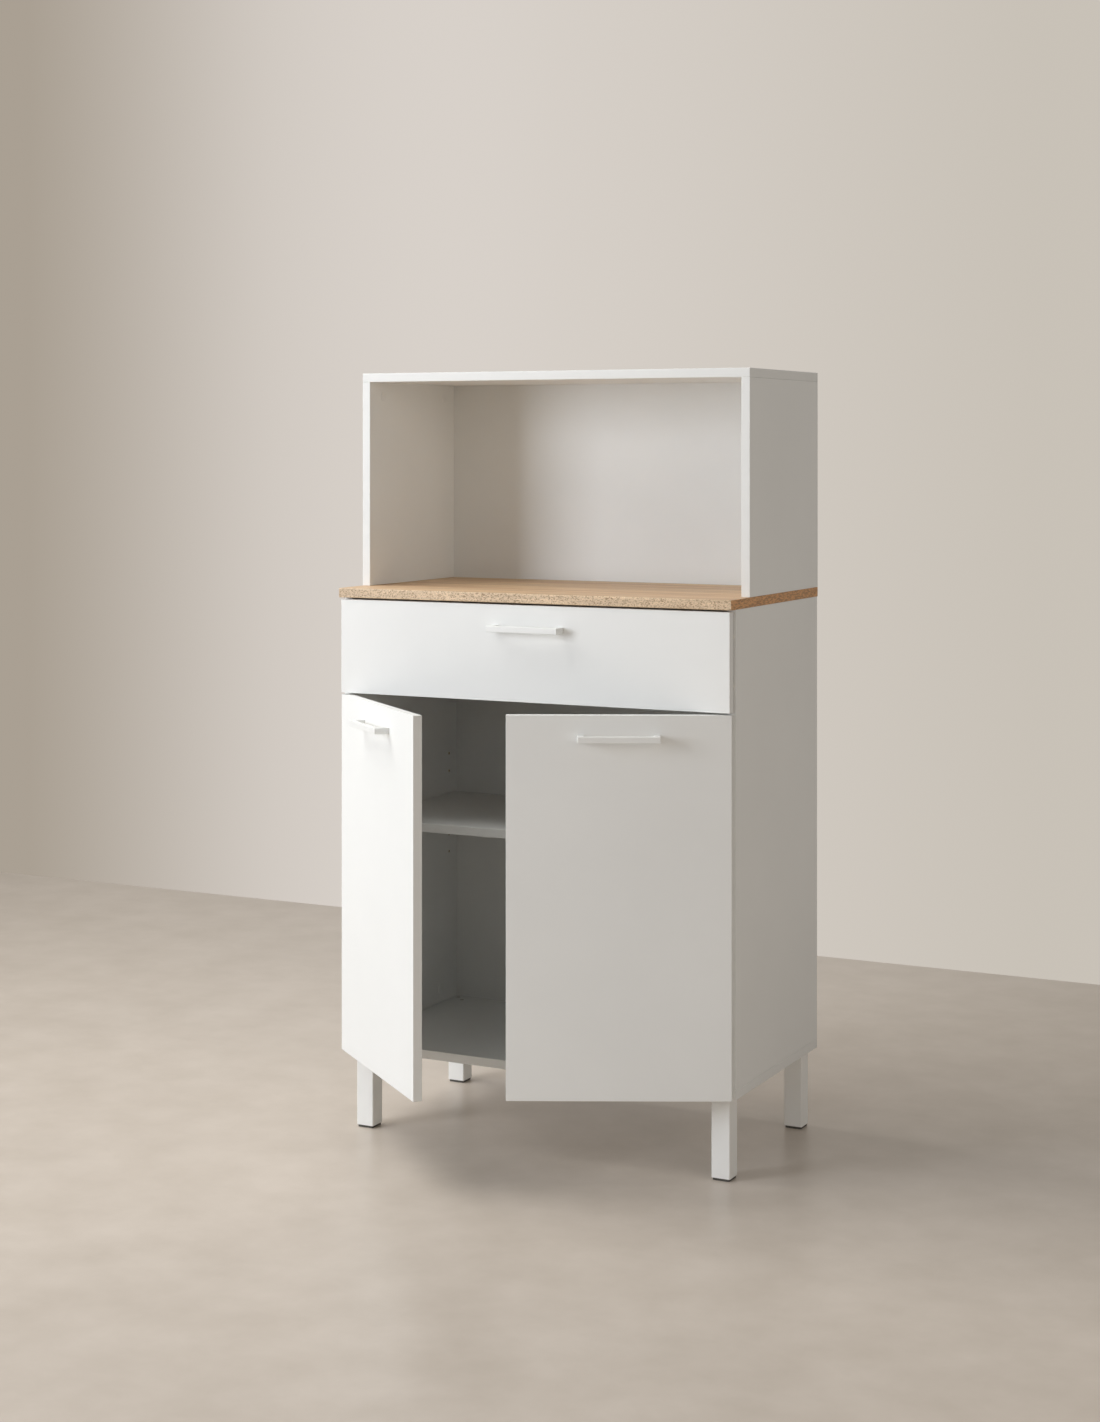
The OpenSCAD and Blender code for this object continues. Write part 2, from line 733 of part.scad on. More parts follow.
// Drawer
module box_cams()
    for (z = box_cam_levels)
        translate([box_half - box_t / 2, -door_gap, box_z + z]) rotate([-90, 0, 0]) children();
module box_screw_places()
    for (z = box_screw_levels)
        translate([box_half, box_end - box_t / 2, box_z + z]) rotate([0, 90, 0]) children();
module box_screw() screw(35, 2, 4);
module bottom_screw_places()
    for (x = bottom_screw_columns)
        translate([x, box_end - box_t / 2, box_bottom_z]) rotate([180, 0, 0]) children();
module bottom_screw() screw(18, 1.5, 3);
module box_runner_screw_spots()
    for (y = box_runner_rows) translate([web_x, y, 0]) rotate([0, 90, 0]) mirror([0, 0, 1]) children();
module box_runner_screw_places() at_wall() box_runner_screw_spots() children();
module box_runner_screw() screw(11, 1.5, 2.8);
module box_groove_cut(extra)
    slab([-box_inner - box_groove, -door_gap - box_groove, box_bottom_z - groove_play],
         [box_inner + box_groove, box_end + extra, box_bottom_z + box_bottom_t + groove_play]);
module drawer_front()
    color(white) place() difference() {
        slab([-front_half, front_face, drawer_front_z], [front_half, -door_gap, drawer_front_top]);
        both() box_cams() cam_holes(box_t);
        drawer_handle_place() handle_screws_here();
        box_groove_cut(0);
    }
module box_side()
    difference() {
        slab([box_inner, -door_gap, box_z], [box_half, box_end, box_z + box_h]);
        box_cams() cam_holes(box_t);
        box_screw_places() box_screw();
        box_runner_screw_places() box_runner_screw();
        box_groove_cut(past);
    }
module drawer_side_left() color(white) place() on(-1) box_side();
module drawer_side_right() color(white) place() on(1) box_side();
module drawer_back()
    color(white) place() difference() {
        slab([-box_inner, box_back_y, box_bottom_z + box_bottom_t], [box_inner, box_end, box_z + box_h]);
        both() box_screw_places() box_screw();
        bottom_screw_places() bottom_screw();
    }
module drawer_bottom()
    color(white) place() difference() {
        slab([groove_play - box_inner - box_groove, groove_play - door_gap - box_groove, box_bottom_z],
             [box_inner + box_groove - groove_play, box_end, box_bottom_z + box_bottom_t]);
        bottom_screw_places() bottom_screw();
    }
module drawer_handle() color(white) place() drawer_handle_place() handle();
module drawer_screws()
    color(steel) place() {
        both() {
            box_screw_places() box_screw();
            box_runner_screw_places() box_runner_screw();
        }
        bottom_screw_places() bottom_screw();
        drawer_handle_place() handle_screws_here();
    }
module drawer_cam_bolts() color(steel) place() both() box_cams() cam_bolt();
module drawer_cam_housings() color(steel) place() both() box_cams() cam_housing(box_t);

// Runners. The profiles' own X is the distance from the carcass side and Z is measured
// from the axis of the runner
module at_wall() translate([inner, 0, runner_z]) mirror([1, 0, 0]) children();
module axle(root, tip, up, y) {
    rod_x([min(root, tip), y, up], axle_r, abs(tip - root));
    rod_x([tip > root ? tip : tip - axle_head_t, y, up], axle_head_r, axle_head_t);
}
front_axle_tip = sheet + roller_w + 2 * roller_play;
rear_axle_tip = web_x - roller_w - 2 * roller_play;
module cabinet_runner() {
    flat = channel_h / 2;
    at_wall() {
        difference() {
            along_y(runner_start, runner_l) difference() {
                translate([0, -flat]) square([channel_w, channel_h]);
                translate([sheet, sheet - flat]) square([channel_w, channel_h - 2 * sheet]);
            }
            slab([sheet, runner_start - past, 0],
                 [channel_w + past, front_roller_y + roller_r + flange_clear, flat + past]);
            runner_screw_spots() runner_screw();
        }
        axle(sheet, front_axle_tip, front_roller_up, front_roller_y);
    }
}
module runner_screw_places() at_wall() runner_screw_spots() children();
module runner_screw_spots()
    for (y = runner_screw_rows) translate([sheet, y, 0]) rotate([0, 90, 0]) children();
module runner_screw() screw(13, 1.75, 3.4);
module drawer_runner() {
    track_end = runner_start + runner_l - track_short;
    low = -channel_h / 2 - runner_drop;
    at_wall() {
        difference() {
            along_y(runner_start, track_end - runner_start) {
                translate([web_x, low]) square([sheet, track_up - low]);
                translate([track_start, track_up]) square([web_x + sheet - track_start, sheet]);
                translate([web_x, low]) square([sheet + box_t, sheet]);
            }
            box_runner_screw_spots() box_runner_screw();
        }
        axle(web_x, rear_axle_tip, rear_roller_up, rear_roller_y);
    }
}
module cabinet_runner_left() color(white) place() on(-1) cabinet_runner();
module cabinet_runner_right() color(white) place() on(1) cabinet_runner();
module drawer_runner_left() color(white) place() on(-1) drawer_runner();
module drawer_runner_right() color(white) place() on(1) drawer_runner();
module runner_screws() color(steel) place() both() runner_screw_places() runner_screw();
module roller(x, y, up)
    at_wall() difference() {
        rod_x([x, y, up], roller_r, roller_w);
        rod_x([x - past, y, up], axle_r + running, roller_w + 2 * past);
    }
module front_roller(side)
    color(nylon) place() on(side) roller(sheet + roller_play, front_roller_y, front_roller_up);
module rear_roller(side)
    color(nylon) place() on(side) roller(rear_axle_tip + roller_play, rear_roller_y, rear_roller_up);
module front_roller_left() front_roller(-1);
module front_roller_right() front_roller(1);
module rear_roller_left() rear_roller(-1);
module rear_roller_right() rear_roller(1);

side_left();
side_right();
bottom_board();
countertop();
front_rail();
shelf();
base_back();
hutch_side_left();
hutch_side_right();
hutch_top();
hutch_back();
leg_front_left();
leg_front_right();
leg_back_left();
leg_back_right();
leg_glides();
leg_screws();
hutch_screws();
cam_bolts();
cam_housings();
dowels();
back_nails();
shelf_pins();
buffers();
hinge_plates();
hinge_arm_left_upper();
hinge_arm_left_lower();
hinge_arm_right_upper();
hinge_arm_right_lower();
hinge_screws();
cabinet_runner_left();
cabinet_runner_right();
runner_screws();
door_left();
handle_left();
hinge_cup_left_upper();
hinge_cup_left_lower();
hinge_pins_left();
door_screws_left();
door_right();
handle_right();
hinge_cup_right_upper();
hinge_cup_right_lower();
hinge_pins_right();
door_screws_right();
drawer_front();
drawer_side_left();
drawer_side_right();
drawer_back();
drawer_bottom();
drawer_handle();
drawer_runner_left();
drawer_runner_right();
drawer_screws();
drawer_cam_bolts();
drawer_cam_housings();
front_roller_left();
front_roller_right();
rear_roller_left();
rear_roller_right();
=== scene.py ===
# Kitchen cabinet: the finish of its boards, oak top, legs, handles, hinges and runners.
# Every piece is worked up from the solid it stands for, so it lies where that solid lies.

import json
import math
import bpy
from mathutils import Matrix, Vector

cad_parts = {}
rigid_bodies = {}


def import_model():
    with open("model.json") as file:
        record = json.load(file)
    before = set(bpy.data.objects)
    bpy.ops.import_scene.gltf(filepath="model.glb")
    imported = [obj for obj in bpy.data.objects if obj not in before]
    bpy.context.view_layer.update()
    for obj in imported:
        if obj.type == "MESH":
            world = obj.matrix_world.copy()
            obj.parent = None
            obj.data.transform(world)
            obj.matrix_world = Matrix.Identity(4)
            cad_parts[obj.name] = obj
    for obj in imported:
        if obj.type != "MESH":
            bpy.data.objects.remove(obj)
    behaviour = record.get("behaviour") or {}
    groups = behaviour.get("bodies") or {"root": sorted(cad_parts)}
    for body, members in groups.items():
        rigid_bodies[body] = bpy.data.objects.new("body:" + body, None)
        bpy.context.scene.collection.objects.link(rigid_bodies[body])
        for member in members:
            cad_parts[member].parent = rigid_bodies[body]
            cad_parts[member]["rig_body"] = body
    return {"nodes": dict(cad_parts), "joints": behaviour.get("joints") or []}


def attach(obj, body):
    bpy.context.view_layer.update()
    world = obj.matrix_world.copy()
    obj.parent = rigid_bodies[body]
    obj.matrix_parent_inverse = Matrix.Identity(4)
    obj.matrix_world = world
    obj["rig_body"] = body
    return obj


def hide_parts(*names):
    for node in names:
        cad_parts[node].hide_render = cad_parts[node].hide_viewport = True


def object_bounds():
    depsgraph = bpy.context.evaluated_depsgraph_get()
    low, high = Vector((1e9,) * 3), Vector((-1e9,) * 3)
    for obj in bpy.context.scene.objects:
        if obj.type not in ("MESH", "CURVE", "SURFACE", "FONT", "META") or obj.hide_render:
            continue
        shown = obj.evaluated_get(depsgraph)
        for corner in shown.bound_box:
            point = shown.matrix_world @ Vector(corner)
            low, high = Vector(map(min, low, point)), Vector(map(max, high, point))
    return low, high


bl_info = {
    "name": "Kitchen Cabinet Finishes",
    "version": (1, 0, 0),
    "blender": (4, 5, 0),
    "location": "View3D > Sidebar > Cabinet",
    "description": "Dresses a two-door kitchen cabinet with a hutch, and stages it",
    "category": "Object",
}

import bmesh
import bpy
import numpy
from bpy.props import FloatProperty, FloatVectorProperty, PointerProperty
from mathutils import Matrix, Quaternion, Vector

# Blender's lengths are in metres. Points within NEAR of each other count as being at one place,
# points within MERGE_GAP are merged, and faces within EDGING_RIM of a board's rim are its edging.
MM = 0.001
NEAR = 0.02 * MM
MERGE_GAP = 0.005 * MM
EDGING_RIM = 1.2 * MM

# Faces that turn by less than FLAT_ANGLE become one face, those that turn by less than
# SMOOTH_ANGLE are shaded as one curve, and those past CORNER_ANGLE meet at a corner to round.
FLAT_ANGLE = math.radians(0.4)
SMOOTH_ANGLE = math.radians(40)
CORNER_ANGLE = math.radians(60)
BEVEL_SEGMENTS = 3

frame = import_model()
cad_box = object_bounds()

# Which solids get which finish
BOARDS = [
    "side_left", "side_right", "bottom_board", "front_rail", "shelf", "hutch_side_left",
    "hutch_side_right", "hutch_top", "door_left", "door_right", "drawer_front",
    "drawer_side_left", "drawer_side_right", "drawer_back",
]
BACKS = ["base_back", "hutch_back", "drawer_bottom"]
LEGS = ["leg_front_left", "leg_front_right", "leg_back_left", "leg_back_right"]
HANDLES = ["handle_left", "handle_right", "drawer_handle"]
RUNNERS = ["cabinet_runner_left", "cabinet_runner_right", "drawer_runner_left", "drawer_runner_right"]
ROLLERS = ["front_roller_left", "front_roller_right", "rear_roller_left", "rear_roller_right"]
HINGES = [
    "hinge_plates", "hinge_arm_left_upper", "hinge_arm_left_lower", "hinge_arm_right_upper",
    "hinge_arm_right_lower", "hinge_cup_left_upper", "hinge_cup_left_lower",
    "hinge_cup_right_upper", "hinge_cup_right_lower", "hinge_pins_left", "hinge_pins_right",
    "shelf_pins",
]
SCREWS = [
    "hinge_screws", "door_screws_left", "door_screws_right", "leg_screws", "runner_screws",
    "drawer_screws", "hutch_screws",
]
CAMS = ["cam_bolts", "cam_housings", "drawer_cam_bolts", "drawer_cam_housings", "back_nails"]
DOOR_JOINTS = {"left_door": "left_door_hinge", "right_door": "right_door_hinge"}


def linear(hex_colour):
    """An sRGB hex colour as the linear RGBA that Blender's sockets take."""
    channels = [int(hex_colour[i:i + 2], 16) / 255 for i in (1, 3, 5)]
    return [c / 12.92 if c <= 0.04045 else ((c + 0.055) / 1.055) ** 2.4 for c in channels] + [1.0]


def colour_property(name, hex_colour, description):
    """A colour that a user can change, given as sRGB hex."""
    return FloatVectorProperty(name=name, description=description, subtype="COLOR", size=4,
                               min=0.0, max=1.0, default=linear(hex_colour))


class CabinetFinish(bpy.types.PropertyGroup):
    """Sizes and colours of the finishes."""

    board_edge: FloatProperty(
        name="Board edge radius", description="Rounding along the edges of the boards",
        default=0.9 * MM, min=0.1 * MM, max=2 * MM, unit="LENGTH")
    handle_edge: FloatProperty(
        name="Handle edge radius", description="Rounding along the edges of the bar handles",
        default=0.7 * MM, min=0.1 * MM, max=2 * MM, unit="LENGTH")
    recess_depth: FloatProperty(
        name="Recess depth", description="Depth of the cross recess in a screw's head",
        default=1.2 * MM, min=0.2 * MM, max=3 * MM, unit="LENGTH")
    cap_radius: FloatProperty(
        name="Cap radius", description="Radius of the white caps over the cams",
        default=8.5 * MM, min=7.5 * MM, max=12 * MM, unit="LENGTH")
    cap_thickness: FloatProperty(
        name="Cap thickness", description="How far the caps stand out from the boards",
        default=0.8 * MM, min=0.3 * MM, max=2 * MM, unit="LENGTH")
    white: colour_property("White", "#F0F1EF", "Face of the melamine boards")
    edging: colour_property("Edging", "#ECEDEB", "Edge strips of the white boards")
    core: colour_property("Core", "#B59B74", "Chipboard inside holes and grooves")
    oak_light: colour_property("Light oak", "#F6D3AA", "Pale bands of the oak top")
    oak_dark: colour_property("Dark oak", "#CF9F70", "Dark bands of the oak top")
    oak_pore: colour_property("Oak pores", "#A58462", "Pores of the oak top")
    oak_edge: colour_property("Oak edging", "#EDD2AF", "Front edge strip of the oak top")
    # painted shade: the end strips are a darker brown than the front edging, standing in for the shade on
    # the top's sides
    shaded_oak_end: colour_property("Oak end strip", "#D8A26C", "Side edge strips of the oak top")
    fibre: colour_property("Hardboard", "#CBAD85", "Bare rear face of the back panels")
    nickel: colour_property("Nickel", "#C9C7C1", "Hinges, screws and pins")
    glide: colour_property("Glides", "#4E4C47", "Plastic glides under the legs")
    nylon: colour_property("Nylon", "#E6E3DA", "Rollers and buffers")
    beech: colour_property("Beech", "#D5B78C", "Dowels")


class CabinetStage(bpy.types.PropertyGroup):
    """The floor, the light and the camera."""

    floor: colour_property("Floor", "#D3C8BC", "Colour of the floor")
    backdrop: colour_property("Backdrop", "#D9D2CB", "Colour behind the floor, at its lightest")
    # painted shade: the backdrop darkens towards the far left, and less towards the far right, as a wall
    # does away from the light
    backdrop_left_shade: colour_property("Backdrop, left", "#9E9384", "Colour behind the floor, far left")
    backdrop_right_shade: colour_property("Backdrop, right", "#C5BEB3", "Colour behind the floor, far right")
    wall_behind: FloatProperty(
        name="Wall behind", description="How far behind the cabinet the floor ends",
        default=1.27, min=0.1, max=5, unit="LENGTH")
    lens: FloatProperty(
        name="Lens", description="Focal length of the camera in millimetres",
        default=59.81, min=20, max=200)
    window: FloatProperty(
        name="Window light", description="Power of the light from the left front, in watts",
        default=63.5, min=0, max=1000)
    bounce: FloatProperty(
        name="Bounce light", description="Power of the light from the right front, in watts",
        default=12, min=0, max=1000)
    ceiling: FloatProperty(
        name="Ceiling light", description="Power of the light from above, in watts",
        default=76, min=0, max=1000)
    fill: FloatProperty(
        name="Fill light", description="Strength of the light from all around",
        default=0.30, min=0, max=5)
    camera_at: FloatVectorProperty(
        name="Camera", description="Place of the camera", subtype="XYZ", unit="LENGTH",
        default=(1.7638, -3.5198, 1.1667))
    camera_turn: FloatProperty(
        name="Camera turn", description="Turn of the camera about the vertical",
        default=math.radians(26.62), subtype="ANGLE")
    frame_drop: FloatProperty(
        name="Frame drop", description="How far the picture is shifted down, as a share of its height",
        default=-0.1872)


# Nodes and materials

def add_node(tree, kind, settings=None, inputs=None):
    """Adds a node, sets its properties and its sockets, and links sockets given as outputs."""
    node = tree.nodes.new(kind)
    for name, value in (settings or {}).items():
        setattr(node, name, value)
    for name, value in (inputs or {}).items():
        if isinstance(value, bpy.types.NodeSocket):
            tree.links.new(value, node.inputs[name])
        else:
            node.inputs[name].default_value = value
    return node


def new_material(name, **sockets):
    """An empty node material with a shader; sockets are the shader's own values."""
    material = bpy.data.materials.new(name)
    material.use_nodes = True
    tree = material.node_tree
    tree.nodes.clear()
    shader = add_node(tree, "ShaderNodeBsdfPrincipled",
                      inputs={key.replace("_", " "): value for key, value in sockets.items()})
    output = add_node(tree, "ShaderNodeOutputMaterial")
    tree.links.new(shader.outputs["BSDF"], output.inputs["Surface"])
    return material, tree, shader


def object_space(tree, scale=(1, 1, 1)):
    """Object coordinates, stretched by scale."""
    place = add_node(tree, "ShaderNodeTexCoord")
    return add_node(tree, "ShaderNodeMapping",
                    inputs={"Vector": place.outputs["Object"], "Scale": scale}).outputs["Vector"]


def grain(tree, vector, size, detail=2.0, roughness=0.5):
    """Noise whose features are about size metres across along an unstretched axis."""
    return add_node(tree, "ShaderNodeTexNoise",
                    inputs={"Vector": vector, "Scale": 1 / size, "Detail": detail,
                            "Roughness": roughness}).outputs["Fac"]


def ramp(tree, factor, *stops, interpolation="LINEAR"):
    """A colour ramp with stops given as (place, linear colour)."""
    node = add_node(tree, "ShaderNodeValToRGB", inputs={"Fac": factor})
    node.color_ramp.interpolation = interpolation
    while len(node.color_ramp.elements) < len(stops):
        node.color_ramp.elements.new(0.5)
    for element, (place, colour) in zip(node.color_ramp.elements, stops):
        element.position = place
        element.color = colour
    return node.outputs["Color"]


def mixed(tree, factor, first, second, blend="MIX"):
    """Two colours mixed by a factor, or blended in another of the mix node's ways."""
    node = add_node(tree, "ShaderNodeMix", settings={"data_type": "RGBA", "blend_type": blend})
    # the node's number, vector and colour sockets share their names, so they are taken by place
    for socket, value in ((node.inputs[0], factor), (node.inputs[6], first), (node.inputs[7], second)):
        if isinstance(value, bpy.types.NodeSocket):
            tree.links.new(value, socket)
        else:
            socket.default_value = value
    return node.outputs[2]


def bumped(tree, shader, height, distance, strength=1.0):
    """Raises the shader's surface by height times distance."""
    bump = add_node(tree, "ShaderNodeBump",
                    inputs={"Height": height, "Distance": distance, "Strength": strength})
    tree.links.new(bump.outputs["Normal"], shader.inputs["Normal"])


def shaded(colour, share):
    """A colour made darker or lighter by a share."""
    return [min(1.0, c * share) for c in colour[:3]] + [1.0]


def melamine(finish):
    """Melamine-faced chipboard: paper in resin pressed on a pearl plate, satin, and barely uneven."""
    material, tree, shader = new_material("white_melamine", Roughness=0.5, IOR=1.5)
    tone = grain(tree, object_space(tree), 180 * MM, detail=3)
    colour = ramp(tree, tone, (0.3, shaded(finish.white, 0.975)), (0.7, finish.white))
    tree.links.new(colour, shader.inputs["Base Color"])
    # the real pearl is 0.4 mm across; it is drawn at 1.4 mm so that it shows
    pearl = grain(tree, object_space(tree), 1.4 * MM, detail=1)
    bumped(tree, shader, pearl, 0.03 * MM, strength=0.35)
    return material


def edge_strip(finish):
    """ABS edging: extruded and scraped flush, satin, without the pearl of the face beside it."""
    material, tree, shader = new_material("white_edging", Roughness=0.52, IOR=1.5)
    tone = grain(tree, object_space(tree), 60 * MM)
    colour = ramp(tree, tone, (0.3, shaded(finish.edging, 0.985)), (0.7, finish.edging))
    tree.links.new(colour, shader.inputs["Base Color"])
    bumped(tree, shader, grain(tree, object_space(tree), 4 * MM), 0.02 * MM, strength=0.3)
    return material


def chipboard(finish):
    """Raw chipboard: pressed wood chips, rough, light and dark flakes of one to two millimetres."""
    material, tree, shader = new_material("chipboard_core", Roughness=0.9)
    flakes = grain(tree, object_space(tree), 1.6 * MM, detail=3, roughness=0.7)
    colour = ramp(tree, flakes, (0.35, shaded(finish.core, 0.6)), (0.65, finish.core))
    tree.links.new(colour, shader.inputs["Base Color"])
    bumped(tree, shader, flakes, 0.3 * MM)
    return material


def oak_laminate(finish):
    """Oak-look laminate: a printed grain along the width with pressed pores, satin."""
    material, tree, shader = new_material("oak_laminate", Roughness=0.48, IOR=1.5)
    bands = grain(tree, object_space(tree, (0.035, 1, 1)), 22 * MM, detail=5, roughness=0.62)
    wood = ramp(tree, bands, (0.34, finish.oak_dark), (0.5, shaded(finish.oak_light, 0.88)),
                (0.66, finish.oak_light))
    # the real streaks are one to three millimetres apart; they are drawn at ten so that they show
    streaks = grain(tree, object_space(tree, (0.03, 1, 1)), 10 * MM, detail=5, roughness=0.75)
    fine = ramp(tree, streaks, (0.36, linear("#A3968D")), (0.60, linear("#FFFFFF")))
    wood = mixed(tree, 0.5, wood, fine, blend="MULTIPLY")
    pores = grain(tree, object_space(tree, (0.06, 1, 1)), 1.1 * MM, detail=2, roughness=0.7)
    dots = ramp(tree, pores, (0.60, linear("#000000")), (0.68, linear("#FFFFFF")))
    wood = mixed(tree, dots, wood, mixed(tree, 0.6, wood, finish.oak_pore))
    tree.links.new(wood, shader.inputs["Base Color"])
    bumped(tree, shader, pores, -0.12 * MM, strength=0.6)
    return material


def oak_edging(finish):
    """Oak-look edging: the same print with short flecks, as on sawn grain."""
    material, tree, shader = new_material("oak_edging", Roughness=0.5, IOR=1.5)
    flecks = grain(tree, object_space(tree, (0.65, 0.45, 1)), 1.7 * MM, detail=3, roughness=0.65)
    bands = grain(tree, object_space(tree, (0.05, 0.05, 1)), 5 * MM, detail=3)
    wood = ramp(tree, flecks, (0.37, finish.oak_pore),
                (0.46, shaded(finish.oak_edge, 0.78)), (0.56, finish.oak_edge))
    tone = ramp(tree, bands, (0.3, linear("#E4E4E4")), (0.7, linear("#FFFFFF")))
    wood = mixed(tree, 1.0, wood, tone, blend="MULTIPLY")
    tree.links.new(wood, shader.inputs["Base Color"])
    bumped(tree, shader, flecks, 0.1 * MM, strength=0.5)
    return material


def oak_end_strip(finish):
    """Oak-look edging on the short sides: a plainer brown with streaks along the strip, made darker as
    painted shade.
    """
    material, tree, shader = new_material("oak_end_edging", Roughness=0.55, IOR=1.5)
    streaks = grain(tree, object_space(tree, (1, 0.22, 1)), 2.2 * MM, detail=3, roughness=0.65)
    wood = ramp(tree, streaks, (0.40, shaded(finish.shaded_oak_end, 0.55)), (0.57, finish.shaded_oak_end))
    tree.links.new(wood, shader.inputs["Base Color"])
    bumped(tree, shader, streaks, 0.1 * MM, strength=0.5)
    return material


def hardboard(finish):
    """Hardboard: wet-pressed brown fibre, dull, with a fine felted surface."""
    material, tree, shader = new_material("bare_hardboard", Roughness=0.75)
    fibres = grain(tree, object_space(tree), 3 * MM, detail=6, roughness=0.75)
    clouds = grain(tree, object_space(tree), 120 * MM, detail=3)
    colour = ramp(tree, fibres, (0.3, shaded(finish.fibre, 0.74)), (0.7, finish.fibre))
    tone = ramp(tree, clouds, (0.3, linear("#EFEFEF")), (0.7, linear("#FFFFFF")))
    tree.links.new(mixed(tree, 1.0, colour, tone, blend="MULTIPLY"), shader.inputs["Base Color"])
    bumped(tree, shader, fibres, 0.1 * MM)
    return material


def white_hardboard(finish):
    """Painted hardboard: a thin rolled coat, a greyer white than the boards, satin and smooth."""
    material, tree, shader = new_material("white_hardboard", Roughness=0.5, IOR=1.5)
    tone = grain(tree, object_space(tree), 140 * MM, detail=3)
    colour = ramp(tree, tone, (0.3, shaded(finish.white, 0.91)), (0.7, shaded(finish.white, 0.94)))
    tree.links.new(colour, shader.inputs["Base Color"])
    rolled = grain(tree, object_space(tree, (1, 1, 0.3)), 2 * MM, detail=1)
    bumped(tree, shader, rolled, 0.03 * MM, strength=0.3)
    return material


def white_lacquer(finish):
    """Lacquered wood: sprayed enamel, satin, with a faint orange peel."""
    material, tree, shader = new_material("white_lacquer", Roughness=0.38, IOR=1.5)
    tone = grain(tree, object_space(tree), 90 * MM)
    # painted light: the legs' white is made 3 to 6 percent lighter than the boards', to make up for the
    # dimmer light near the floor
    colour = ramp(tree, tone, (0.3, shaded(finish.white, 1.03)), (0.7, shaded(finish.white, 1.06)))
    tree.links.new(colour, shader.inputs["Base Color"])
    bumped(tree, shader, grain(tree, object_space(tree), 2.5 * MM), 0.04 * MM, strength=0.3)
    return material


def powder_coat(finish):
    """Powder-coated metal: a baked plastic skin with rounded edges and a fine orange peel."""
    material, tree, shader = new_material("white_powder_coat", Roughness=0.36, IOR=1.5,
                                          Coat_Weight=0.15, Coat_Roughness=0.3)
    tone = grain(tree, object_space(tree), 30 * MM)
    colour = ramp(tree, tone, (0.3, shaded(finish.white, 0.98)), (0.7, finish.white))
    tree.links.new(colour, shader.inputs["Base Color"])
    bumped(tree, shader, grain(tree, object_space(tree), 1.8 * MM, detail=1), 0.04 * MM, strength=0.4)
    return material


def nickel_plate(finish):
    """Nickel-plated steel: pressed sheet with a soft metal gloss and faint drawing marks."""
    material, tree, shader = new_material("nickel_plate", Metallic=1.0, Roughness=0.3)
    marks = grain(tree, object_space(tree, (1, 1, 0.08)), 1.2 * MM, detail=3)
    rough = add_node(tree, "ShaderNodeMapRange",
                     inputs={"Value": marks, "To Min": 0.24, "To Max": 0.42})
    tree.links.new(rough.outputs["Result"], shader.inputs["Roughness"])
    colour = ramp(tree, marks, (0.3, shaded(finish.nickel, 0.9)), (0.7, finish.nickel))
    tree.links.new(colour, shader.inputs["Base Color"])
    return material


def cap_plastic(finish):
    """Polypropylene: thin moulded caps, matt white like the boards they hide in."""
    material, tree, shader = new_material("white_polypropylene", Roughness=0.5, IOR=1.49)
    tone = grain(tree, object_space(tree), 12 * MM)
    colour = ramp(tree, tone, (0.3, shaded(finish.white, 0.95)), (0.7, shaded(finish.white, 0.99)))
    tree.links.new(colour, shader.inputs["Base Color"])
    bumped(tree, shader, grain(tree, object_space(tree), 0.8 * MM, detail=1), 0.02 * MM, strength=0.4)
    return material


def grey_plastic(finish):
    """Polyethylene: moulded, dull, scuffed where it slides."""
    material, tree, shader = new_material("grey_polyethylene", Roughness=0.6, IOR=1.5)
    scuffs = grain(tree, object_space(tree), 5 * MM, detail=4, roughness=0.7)
    colour = ramp(tree, scuffs, (0.35, shaded(finish.glide, 0.8)), (0.7, finish.glide))
    tree.links.new(colour, shader.inputs["Base Color"])
    bumped(tree, shader, scuffs, 0.1 * MM, strength=0.5)
    return material


def natural_nylon(finish):
    """Nylon: moulded, milky and slightly waxy."""
    material, tree, shader = new_material("natural_nylon", Roughness=0.4, IOR=1.53,
                                          Subsurface_Weight=0.1, Subsurface_Scale=1 * MM)
    cloud = grain(tree, object_space(tree), 6 * MM)
    colour = ramp(tree, cloud, (0.3, shaded(finish.nylon, 0.95)), (0.7, finish.nylon))
    tree.links.new(colour, shader.inputs["Base Color"])
    return material


def beech_wood(finish):
    """Beech: turned and fluted rod, plain grain along its length."""
    material, tree, shader = new_material("beech_wood", Roughness=0.6)
    lines = grain(tree, object_space(tree, (1, 1, 0.1)), 1 * MM, detail=3)
    colour = ramp(tree, lines, (0.3, shaded(finish.beech, 0.75)), (0.7, finish.beech))
    tree.links.new(colour, shader.inputs["Base Color"])
    bumped(tree, shader, lines, 0.1 * MM)
    return material


FINISHES = {
    "melamine": melamine, "edging": edge_strip, "core": chipboard, "oak": oak_laminate,
    "oak_edge": oak_edging, "shaded_oak_end": oak_end_strip, "hardboard": hardboard,
    "back": white_hardboard, "lacquer": white_lacquer, "powder": powder_coat,
    "nickel": nickel_plate, "glide": grey_plastic, "cap": cap_plastic, "nylon": natural_nylon,
    "beech": beech_wood,
}
made_materials = {}


def material(name):
    """The named material, made once."""
    if name not in made_materials:
        made_materials[name] = FINISHES[name](bpy.context.scene.cabinet_finish)
    return made_materials[name]


# Shaping

def deselect():
    """Leaves nothing selected."""
    bpy.ops.object.select_all(action="DESELECT")


def activate(piece):
    """Selects one piece alone and makes it the active one."""
    deselect()
    piece.select_set(True)
    bpy.context.view_layer.objects.active = piece


